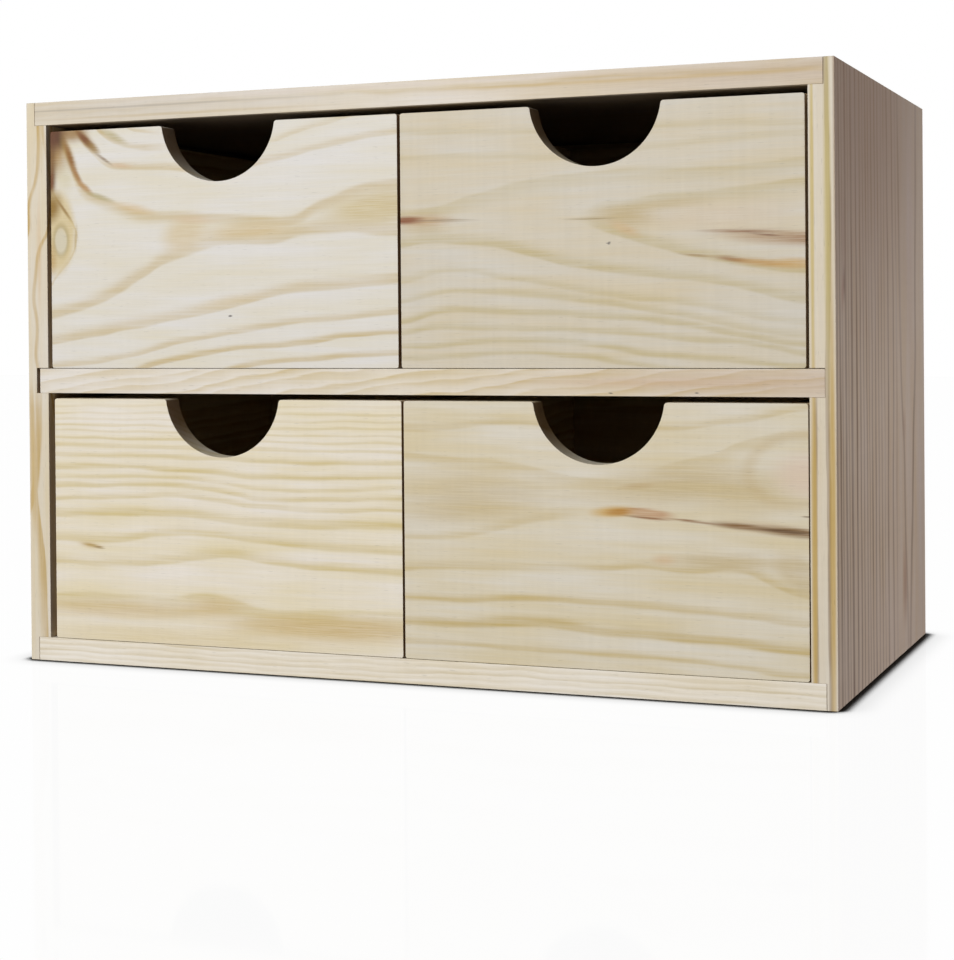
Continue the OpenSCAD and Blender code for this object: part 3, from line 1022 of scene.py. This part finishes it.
LOWER_RIGHT_RINGS = (
    Ring(((0, 78.7), (14, 79.2), (39, 81.2), (66, 80), (94, 80.5), (109, 82), (124, 83.7), (139, 86.5)),
         0.45, 1.2, 4.0),
    Ring(((0, 69.7), (19, 68.2), (39, 67.2), (55, 64.2), (69, 62.7), (90, 62)),
         0.35, 4.0, 1.6, 0.3, (-50, 72)),
    Ring(((0, 42.2), (19, 43.2), (29, 45.2), (39, 47.2), (55, 50), (70, 51)),
         0.4, 1.4, 5.0, 0.3, (-50, 60)),
    Ring(((80, 62), (90, 66), (100, 69), (110, 71.5), (118, 75), (128, 77.3), (139, 78.5)),
         0.3, 5.0, 1.6, 0.4, (90, 200)),
    Ring(((0, 30.5), (9, 31.5), (29, 32.4), (49, 32.4), (69, 33), (84, 34.4), (100, 33.6), (118, 34.5),
          (128, 31), (139, 27.5)), 0.45, 1.2, 4.4),
    Ring(((0, 20.7), (39, 22), (79, 22), (99, 20.8), (119, 19.8), (139, 18.6)), 0.55, 1.2, 3.6),
    Ring(((0, 12.2), (29, 13.2), (49, 14.2), (69, 12.7), (109, 11.2), (139, 9.2)), 0.7, 1.4, 3.6, 1.0),
    Ring(((0, 5.7), (49, 6), (89, 5.2), (109, 4.2), (139, 2.2)), 0.55, 1.0, 2.6),
)
LOWER_RIGHT_STAINS = (
    StainOrShade(26, 57, 50, 12, 0, DEEP_TAN, 0.47),
    StainOrShade(18, 50, 34, 6, 4, DEEP_TAN, 0.35),
    StainOrShade(96, 61.5, 46, 9.5, 6, DEEP_TAN, 0.64),
    StainOrShade(122, 58, 26, 9, 0, DEEP_TAN, 0.4),
    StainOrShade(140, 65.5, 16, 10, 0, "#d8c3ae", 0.85, 0.7),
    StainOrShade(136, 67, 20, 14, 8, "#bda473", 0.32, 0.2, hollow=0.6),
    StainOrShade(84, 61, 10, 1.6, 6, "#b3935e", 0.45),
    StainOrShade(139, 52.3, 3, 0.5, 0, "#6b5038", 0.8),
    StainOrShade(75, 52.2, 11, 2.6, 4, "#c8a050", 0.85, 0.75, broken=0.25),
    StainOrShade(77, 52.2, 7.5, 1.8, 4, AMBER, 0.9, 0.8, broken=0.3),
    StainOrShade(87.5, 51.8, 10.5, 2.4, -4, "#bd9570", 0.9, 0.65, broken=0.35),
    StainOrShade(86, 50.5, 12, 0.6, -4, RESIN_BROWN, 0.85, broken=0.45),
    StainOrShade(84, 53.3, 8, 0.5, -2, "#a9723c", 0.7, broken=0.4),
    StainOrShade(102, 49.8, 13, 0.7, -5, RESIN_BROWN, 0.9, broken=0.4),
    StainOrShade(128, 48.2, 24, 2.8, -4, "#b39468", 0.6),
    StainOrShade(117, 48.7, 14, 1.6, -4, "#7a5422", 0.95, 0.8, broken=0.3),
    StainOrShade(135, 47.2, 18, 2.2, -4, "#76521e", 0.9, 0.7, broken=0.4),
    StainOrShade(132, 47.5, 14, 0.9, -4, RESIN_DARK, 0.9, broken=0.3),
    StainOrShade(112, 37, 30, 4.2, 0, DEEP_TAN, 0.6, 0.8),
    StainOrShade(92, 37, 6, 2.6, 0, "#cda06c", 0.4),
    StainOrShade(137, 34, 13, 7, -30, DEEP_TAN, 0.55, 0.6),
)
LOWER_RIGHT = Face(LOWER_RIGHT_RINGS, LOWER_RIGHT_STAINS)

# Rings of a slowly grown pine, which repeat over 11 mm
FINE_RINGS = (TrunkRing(1.3, 1.1, 0.5), TrunkRing(2.9, 1.0, 0.35), TrunkRing(4.3, 1.3, 0.55),
              TrunkRing(6.1, 1.2, 0.4), TrunkRing(7.8, 1.2, 0.5), TrunkRing(9.6, 1.2, 0.4))

# The curves of a side's rings. They slant by as much as they lie deep, so that 0 to 8.5 mm across is
# the side's front edge.
SIDE = {"slant": 1.0, "long": 226.0, "wide": 190.0}
LEFT_SIDE_RINGS = (
    Ring(((0, -3), (152, -3), (158, 0.2), (169, 0.9), (178, 3.8), (188, 4.7), (206, 5.2)),
         0.75, 0.8, 1.6, 0.5),
    Ring(((0, 12), (100, 10), (108, 4.4), (125, 3.9), (134, 2.6), (143, 3.5), (152, 5.2), (159, 8.8),
          (206, 12)), 0.75, 0.8, 1.4, 0.6),
    Ring(((0, 14), (170, 12), (187, 8.3), (197, 6.6), (206, 6.2)), 0.6, 0.8, 1.5, 0.8),
    Ring(((0, -4), (50, -3), (60, 0.7), (75, 2.6), (98, 3.4), (206, 3)), 0.85, 0.9, 1.6, 1.8, (-20, 99)),
    Ring(((0, 7.2), (9, 7), (30, 6.2), (45, 5.1), (60, 3.2), (80, 2), (206, 1)),
         0.8, 3.6, 0.7, 0.5, (-20, 99)),
)
# Painted shade that darkens a side's inner face
PAINTED_INNER_SHADE = StainOrShade(103, 90, 240, 89.6, 0, "#6e5335", 0.7, 0.03, through=9.5, depth=4.0, fray=0.0, broken=0.0)
LEFT_SIDE_STAINS = (
    StainOrShade(70, 0, 34, 3, 0, YELLOW_TAN, 0.55, through=1.6, depth=2.6),
    StainOrShade(150, 0, 30, 3, 0, "#d2b58c", 0.5, through=5.0, depth=1.6),
    StainOrShade(192, 0, 20, 3, 0, YELLOW_TAN, 0.4, through=6.4, depth=1.8),
    # Painted shade on the left side's inner face
    PAINTED_INNER_SHADE,
)
LEFT_SIDE = Face(LEFT_SIDE_RINGS, LEFT_SIDE_STAINS, wander=0.5,
                 beyond=Trunk(pith=(70.0, -24.0), lean=(0.03, 0.05)), **SIDE)

RIGHT_SIDE_RINGS = (
    Ring(((0, 1.9), (60, 1.6), (98, 1.8), (150, 2.4), (206, 2.6)), 0.7, 0.4, 0.8, 0.7, (-20, 99)),
    Ring(((0, 6.2), (50, 5.9), (100, 5.6), (140, 6.1), (206, 5.4)), 0.8, 0.4, 0.8, 0.9),
) + rings_past(
    (0, 100, 206),
    ((10.3, 10.4, 11), 0.6, 1.0, 1.4, 0.6),
    ((15.4, 15, 13.4), 0.75, 1.2, 2.2, 1.2),
    ((19.6, 19, 18.2), 0.5, 1.2, 1.6, 0.6),
    ((24.6, 24, 23.2), 0.8, 1.2, 2.4, 1.2),
    ((29.4, 29, 28.2), 0.5, 1.0, 1.4, 0.5),
    ((33.9, 33.6, 33), 0.95, 1.4, 2.6, 1.4),
    ((41.8, 42, 40.8), 0.8, 1.2, 2.2, 1.2),
    ((48.5, 48.3, 47.8), 0.7, 1.0, 2.0, 1.0),
    ((53.8, 53.8, 53), 0.6, 0.8, 1.8, 0.8),
    ((59.4, 59.2, 58.4), 0.65, 0.9, 1.8, 0.9),
    ((64.2, 64, 63.4), 0.5, 0.9, 1.6, 0.6),
    ((69, 69, 68.5), 0.65, 1.0, 2.0, 0.9),
    ((74.6, 75.4, 75), 0.7, 1.0, 2.0, 1.0),
    ((81, 81.2, 80.8), 0.6, 1.0, 2.0, 0.8),
    ((87, 87, 87), 0.55, 1.0, 1.8, 0.7),
    ((92.4, 92.8, 92.2), 0.45, 1.0, 1.6, 0.5)) + rings_past(
    (0, 60, 100, 206),
    ((98.6, 98.5, 99.8, 98.2), 0.75, 1.2, 2.4, 1.2),
    ((108.6, 108.4, 110.2, 107.8), 0.65, 1.2, 2.4, 1.2),
    ((116, 116, 117, 115), 0.35, 1.2, 2.4, 0.8)) + (
    Ring(((0, 139), (26, 136.5), (46, 133.5), (76, 131.5), (100, 126.5), (140, 123.5), (180, 121.5),
          (206, 120.5)), 0.5, 1.8, 3.2, 1.4),
    Ring(((0, 143), (26, 145.5), (46, 148.5), (76, 151.5), (106, 156.5), (136, 157.5), (196, 160.5),
          (206, 161)), 0.6, 1.8, 3.2, 2.0),
)
RIGHT_SIDE_STAINS = (
    StainOrShade(60, 0, 110, 3, 0, "#bf9f55", 0.9, 0.75, through=7.2, depth=1.5, broken=0.1),
    StainOrShade(160, 0, 80, 3, 0, "#bfae6c", 0.85, 0.75, through=6.0, depth=1.7, broken=0.1),
    StainOrShade(50, 0, 90, 3, 0, "#bf9f52", 0.9, 0.7, through=1.35, depth=1.35, broken=0.1),
    StainOrShade(160, 0, 80, 3, 0, "#c5ae62", 0.8, 0.7, through=1.2, depth=0.9, broken=0.1),
    StainOrShade(110, 0, 190, 3, 0, "#d6c9b0", 0.35, through=4.2, depth=2.4, broken=0.1),
    # The same painted shade on the right side's inner face
    replace(PAINTED_INNER_SHADE, through=-1.0),
    # Painted shade darkens the outer face towards the top and painted light makes it paler towards the
    # bottom; towards the rear edge it is lighter and greyer.
    StainOrShade(222, 50, 148, 190, 0, "#7d5226", 0.72, 0.7, **OUTER_FACE, broken=0.0),
    StainOrShade(0, 80, 52, 190, 0, "#f0eae2", 0.28, **OUTER_FACE, broken=0.0),
    StainOrShade(150, 138, 70, 14, 0, "#c9bebc", 0.4, 0.8, **OUTER_FACE),
    StainOrShade(40, 160, 70, 14, 0, "#cdc6c0", 0.5, **OUTER_FACE),
    StainOrShade(135, 13.4, 9, 2.6, 0, "#6a3a24", 0.9, fray=0.4),
    StainOrShade(132, 11, 9, 3, 0, "#a5694a", 0.5, fray=0.4),
    StainOrShade(150, 13, 22, 4, 0, "#8e6450", 0.4, fray=0.4),
    StainOrShade(26, 124, 22, 7, 0, "#9c6c48", 0.6, through=9.0, depth=3.0),
    StainOrShade(84, 124, 9, 5, 0, "#a88670", 0.4, through=9.0, depth=3.0),
)
RIGHT_SIDE = Face(RIGHT_SIDE_RINGS, RIGHT_SIDE_STAINS, wander=0.35, **SIDE)

TOP_BOARD = Trunk(pith=(70.0, -30.0), lean=(0.0, 0.006), rings=FINE_RINGS, span=11.0, wander=0.6, stains_and_shades=(
    StainOrShade(300, 0, 190, 3, 0, "#ae8f68", 0.5, through=4.2, depth=9.0, broken=0.1),
    StainOrShade(40, 0, 150, 3, 0, "#c3b8a6", 0.55, through=4.2, depth=9.0, broken=0.1),
    StainOrShade(60, 0, 90, 3, 0, "#c4b088", 0.6, through=1.9, depth=0.8),
    StainOrShade(40, 0, 110, 3, 0, "#a59c90", 0.55, through=5.2, depth=0.6, broken=0.2),
    # Painted shade darkens the whole underside.
    StainOrShade(145, 90, 2000, 89.3, 0, "#5a4024", 0.75, 0.02, through=-1.0, depth=6.0, fray=0.0, broken=0.0),
    StainOrShade(240, 0, 110, 3, 0, "#c8ac72", 0.6, through=4.6, depth=1.1),
    StainOrShade(150, 0, 170, 3, 0, "#dccfc4", 0.5, through=7.2, depth=1.3)))
SHELF = Trunk(pith=(60.0, -150.0), lean=(0.0, 0.14), wander=1.6, stains_and_shades=(
    StainOrShade(300, 0, 170, 3, 0, "#b5926c", 0.5, through=4.5, depth=9.0, broken=0.1),
    StainOrShade(240, 0, 60, 3, 0, "#ccae8e", 0.45, through=4.5, depth=2.2),
    StainOrShade(221, 0, 1.0, 3, 0, SPECK, 0.8, 0.8, through=1.0, depth=0.35, broken=0.0),
    StainOrShade(250, 0, 1.0, 3, 0, SPECK, 0.8, 0.8, through=1.2, depth=0.35, broken=0.0)))
BOTTOM_BOARD = Trunk(pith=(50.0, -60.0), lean=(0.0, 0.004), rings=FINE_RINGS, span=11.0, wander=0.7)

CREAM_PINE = Pine("#e4ded5", "#dfd4be", "#c4ac6e")
# The drawers, each with its front's figure and wood
FRONTS = {
    "upper_left_drawer": (UPPER_LEFT, Pine("#dfdcd7", "#dcd5c2", "#c2ab76", ring_share=1.15, chatter=0.006)),
    "upper_right_drawer": (UPPER_RIGHT, Pine("#d2ccbf", "#d1c4a8", "#b3a05c", chatter=0.016)),
    "lower_left_drawer": (LOWER_LEFT, Pine("#e8e1d5", "#e2d6b6", "#c6b068", ring_share=0.92)),
    "lower_right_drawer": (LOWER_RIGHT, Pine("#dbd4c4", "#d5c7a4", "#baa056", chatter=0.012)),
}


# -------------------------------------------------------------------------------------- cabinet


@dataclass
class Cabinet:
    """The fixed body: two sides, top, shelf, bottom and the plywood back with its brads.

    Attributes:
        body: The body that it all moves with.
        slot: The boards' material slot.
        boards: Each board's node, how it lies, its figure and its wood.
        plywood: The back panel's wood.
    """

    body: str = "cabinet"
    slot: str = "cabinet_pine"
    boards: tuple[tuple[str, Lay, Trunk | Face, Pine], ...] = (
        ("cabinet_left_side", Lay.STANDING, LEFT_SIDE,
         Pine("#dcd4c5", "#d8c9a8", "#bb9c5a", ring_share=1.1)),
        ("cabinet_right_side", Lay.STANDING, RIGHT_SIDE, Pine("#dcd3c2", "#d6c8ad", "#765838")),
        ("cabinet_top", Lay.FLAT, TOP_BOARD, CREAM_PINE),
        ("middle_shelf", Lay.FLAT, SHELF, CREAM_PINE),
        # The bottom board's wood is paler, partly its own tone and partly painted light that makes up for
        # the weaker light low down.
        ("cabinet_bottom", Lay.FLAT, BOTTOM_BOARD, Pine("#f0ebe2", "#e8dec9", "#c4b286")),
    )
    plywood: Plywood = Plywood()

    def build(self) -> None:
        """Makes the boards and the panel and dresses them."""
        for seed, (node, lay, figure, pine) in enumerate(self.boards, start=1):
            board = Board(node, self.body, self.slot)
            board.build()
            board.wear(pine.dress(node, lay, board.low(), figure, seed))
        panel = Board("back_panel", self.body, "plywood")
        panel.build()
        low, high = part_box(panel.node)
        panel.wear(self.plywood.dress(panel.node, Lay.FACING, low, high.y - low.y))


# -------------------------------------------------------------------------------------- drawers


@dataclass
class Drawer:
    """One drawer: its front with the finger notch, two sides, back and plywood bottom.

    Attributes:
        name: The drawer's body, with which its nodes' names begin.
        figure: The front's figure.
        front_pine: The front's wood.
        seed: A whole number that gives the drawer its own noise.
        box_pine: The wood of the sides and the back.
        box_lays: How the sides and the back lie.
        first_pith, pith_step: Where the pith of the first of them lies across it, and how much
            further it lies in each of the others.
        plywood: The bottom's wood.
    """

    name: str
    figure: Face
    front_pine: Pine
    seed: int
    box_pine: Pine = Pine("#d8c9ae", "#d2be98", "#b08c54")
    box_lays: tuple[tuple[str, Lay], ...] = (("left_side", Lay.DEEP), ("right_side", Lay.DEEP),
                                             ("back", Lay.FACING))
    first_pith: float = 18.0
    pith_step: float = 20.0
    plywood: Plywood = Plywood()

    def build(self) -> None:
        """Makes the drawer's pieces and dresses them."""
        front = Board(self.name + "_front", self.name, "drawer_front_pine", edge=0.1, corner=0.8)
        front.build()
        front.wear(self.front_pine.dress(front.node, Lay.FACING, front.low(), self.figure, self.seed))
        for i, (part, lay) in enumerate(self.box_lays):
            board = Board(f"{self.name}_{part}", self.name, "drawer_pine")
            board.build()
            figure = Trunk(pith=(self.first_pith + self.pith_step * i, -30.0), lean=(0.02, 0.03))
            board.wear(self.box_pine.dress(board.node, lay, board.low(), figure, self.seed + 1 + i))
        bottom = Board(self.name + "_bottom", self.name, "plywood")
        bottom.build()
        low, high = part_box(bottom.node)
        bottom.wear(self.plywood.dress(bottom.node, Lay.FLAT, low, high.z - low.z))


# --------------------------------------------------------------------------------------- studio


@dataclass(frozen=True)
class Lamp:
    """A soft square lamp.

    Attributes:
        name: Its name.
        place: Its place.
        target: The point that it shines at.
        size: Its width.
        level: How brightly it lights a face that is turned to it there.
        tint: Its colour.
        mirrored: Whether glossy surfaces show it.
    """

    name: str
    place: tuple[float, float, float]
    target: tuple[float, float, float]
    size: float
    level: float
    tint: tuple[float, float, float] = WHITE[:3]
    mirrored: bool = True

    def build(self) -> None:
        """Makes the lamp."""
        away = Vector(self.target) - Vector(self.place)
        light = bpy.data.lights.new(self.name, "AREA")
        light.shape = "SQUARE"
        light.size = self.size
        light.energy = self.level * (math.pi * away.length) ** 2
        light.color = self.tint
        lamp = bpy.data.objects.new(self.name, light)
        lamp.location = self.place
        lamp.rotation_euler = away.to_track_quat("-Z", "Y").to_euler()
        lamp.visible_camera = False
        lamp.visible_glossy = self.mirrored
        bpy.context.scene.collection.objects.link(lamp)


@dataclass(frozen=True)
class Darkening:
    """The floor's darkening close to the object: a shadow painted into its glow.

    Attributes:
        reach: How far from the object it ends.
        tone: The floor's brightness where the object touches it.
        from_share: How much of the sky a point sees where that tone begins to fade.
        to_share: How much it sees where the floor is fully bright.
    """

    reach: float
    tone: float
    from_share: float
    to_share: float = 0.97

    def level(self, tree: NodeTree) -> Node:
        """Adds the darkening.

        Args:
            tree: The node tree.

        Returns:
            The node that gives the floor's brightness, up to 1.
        """
        near = add(tree, "AmbientOcclusion", {"Distance": self.reach}, samples=16)
        return add(tree, "MapRange", (near.outputs["AO"], self.from_share, self.to_share, self.tone, 1.0))


@dataclass(frozen=True)
class Studio:
    """The floor, the lamps, the white surroundings and the camera.

    Attributes:
        camera_place: The camera's place.
        camera_turn, camera_tilt, camera_roll: Its turns, in degrees.
        lens, sensor: Its focal length and its picture's width behind the lens, in millimetres.
        frame_drop, frame_side: How far the picture is shifted, as shares of its width.
        lamps: The key lamp, a warm weak one for the right side, and one for the back.
        ambient: How brightly the surroundings light the object.
        shade_tint: The colour in which the floor and the surroundings light it.
        floor_size: The floor's width.
        floor_glow: How brightly the floor lights the object.
        floor_gloss, floor_roughness: How strong the floor's faint reflection is, and how soft.
        shadow, seam: The soft shadow round the object and the dark contact shadow under its edge, both
            painted into the floor's glow.
    """

    camera_place: tuple[float, float, float] = (0.2772, -0.7098, 0.1216)
    camera_turn: float = 22.2
    camera_tilt: float = 0.49
    camera_roll: float = -0.46
    lens: float = 74.88
    sensor: float = 36.0
    frame_drop: float = 0.1406
    frame_side: float = 0.0188
    lamps: tuple[Lamp, ...] = (
        Lamp("key", (-0.7, -2.4, 1.1), (0.0, -0.085, 0.1), size=1.3, level=0.955),
        Lamp("fill", (0.5, 0.04, 0.05), (0.15, 0.0, 0.1), size=0.09, level=0.282, tint=(1.0, 0.81, 0.805)),
        Lamp("back", (-0.5, 2.2, 1.0), (0.0, 0.085, 0.1), size=1.3, level=0.42, mirrored=False),
    )
    ambient: float = 0.06
    shade_tint: tuple[float, float, float, float] = (1.0, 0.92, 0.9, 1.0)
    floor_size: float = 8.0
    floor_glow: float = 0.2
    floor_gloss: float = 0.04
    floor_roughness: float = 0.06
    shadow: Darkening = Darkening(reach=0.014, tone=0.7, from_share=0.5)
    seam: Darkening = Darkening(reach=0.005, tone=0.0, from_share=0.74)

    def build(self) -> None:
        """Sets the scene's view transform and makes everything round the object."""
        bpy.context.scene.view_settings.view_transform = "Standard"
        self._camera()
        for lamp in self.lamps:
            lamp.build()
        self._surroundings()
        self._floor()

    def _camera(self) -> None:
        """Makes the camera, level with the lower part of the upper drawers."""
        lens = bpy.data.cameras.new("camera")
        lens.lens = self.lens
        lens.sensor_width = self.sensor
        lens.shift_x = self.frame_side
        lens.shift_y = -self.frame_drop
        camera = bpy.data.objects.new("camera", lens)
        camera.location = self.camera_place
        turn = Euler((0.0, 0.0, math.radians(self.camera_turn))).to_matrix()
        tilt = Euler((math.radians(90.0 - self.camera_tilt), 0.0, 0.0)).to_matrix()
        roll = Euler((0.0, 0.0, math.radians(self.camera_roll))).to_matrix()
        camera.rotation_euler = (turn @ tilt @ roll).to_euler()
        bpy.context.scene.collection.objects.link(camera)
        bpy.context.scene.camera = camera

    def _tint(self, tree: NodeTree, seen: Node | NodeSocket) -> NodeSocket:
        """Adds the colour of something that looks white, and lights the object in the shade's tint.

        Args:
            tree: The node tree.
            seen: What is 1 where the thing is seen and 0 where it lights the object.

        Returns:
            The colour.
        """
        return add(tree, "Mix", {FACTOR: seen, COLOUR_A: self.shade_tint, COLOUR_B: WHITE},
                   data_type="RGBA").outputs[MIXED]

    def _surroundings(self) -> None:
        """Makes a world that looks white, and lights the object more softly than it looks."""
        world = bpy.data.worlds.new("studio")
        world.use_nodes = True
        tree = world.node_tree
        tree.nodes.clear()
        path = add(tree, "LightPath")
        seen = add(tree, "Math MAXIMUM", (path.outputs["Is Camera Ray"], path.outputs["Is Glossy Ray"]))
        strength = add(tree, "MapRange", (seen, *UNIT, self.ambient, 1.0))
        white = add(tree, "Background", {"Color": self._tint(tree, seen), "Strength": strength})
        add(tree, "OutputWorld", {"Surface": white})
        bpy.context.scene.world = world

    def _floor(self) -> None:
        """Makes the floor, which looks white, with the object's shadow painted into its glow and a faint
        reflection.
        """
        shape = bmesh.new()
        bmesh.ops.create_grid(shape, x_segments=1, y_segments=1, size=self.floor_size / 2)
        mesh = bpy.data.meshes.new("floor")
        shape.to_mesh(mesh)
        shape.free()
        floor = bpy.data.objects.new("floor", mesh)
        bpy.context.scene.collection.objects.link(floor)
        material, tree = new_material("white_floor")
        seen = add(tree, "LightPath").outputs["Is Camera Ray"]
        shadow, seam = self.shadow.level(tree), self.seam.level(tree)
        shown = add(tree, "Math MULTIPLY", (shadow, seam))
        level = add(tree, "MapRange", (seen, *UNIT, self.floor_glow, shown))
        white = add(tree, "Emission", {"Color": self._tint(tree, seen), "Strength": level})
        gloss = add(tree, "BsdfGlossy", {"Roughness": self.floor_roughness})
        sheen = add(tree, "MixShader", (self.floor_gloss, white, gloss))
        add(tree, "OutputMaterial", {"Surface": sheen})
        mesh.materials.append(material)


def main() -> None:
    """Builds the studio, the cabinet and the drawers, and gives the brads their steel."""
    logging.basicConfig(level=logging.INFO, format="%(message)s")
    Studio().build()
    Cabinet().build()
    for number, (name, (figure, pine)) in enumerate(FRONTS.items(), start=1):
        Drawer(name, figure, pine, seed=10 * number).build()
    steel = BradSteel().dress()
    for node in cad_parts:
        if node.endswith("_brads"):
            dress_brads(node, steel)


if __name__ == "__main__":
    main()
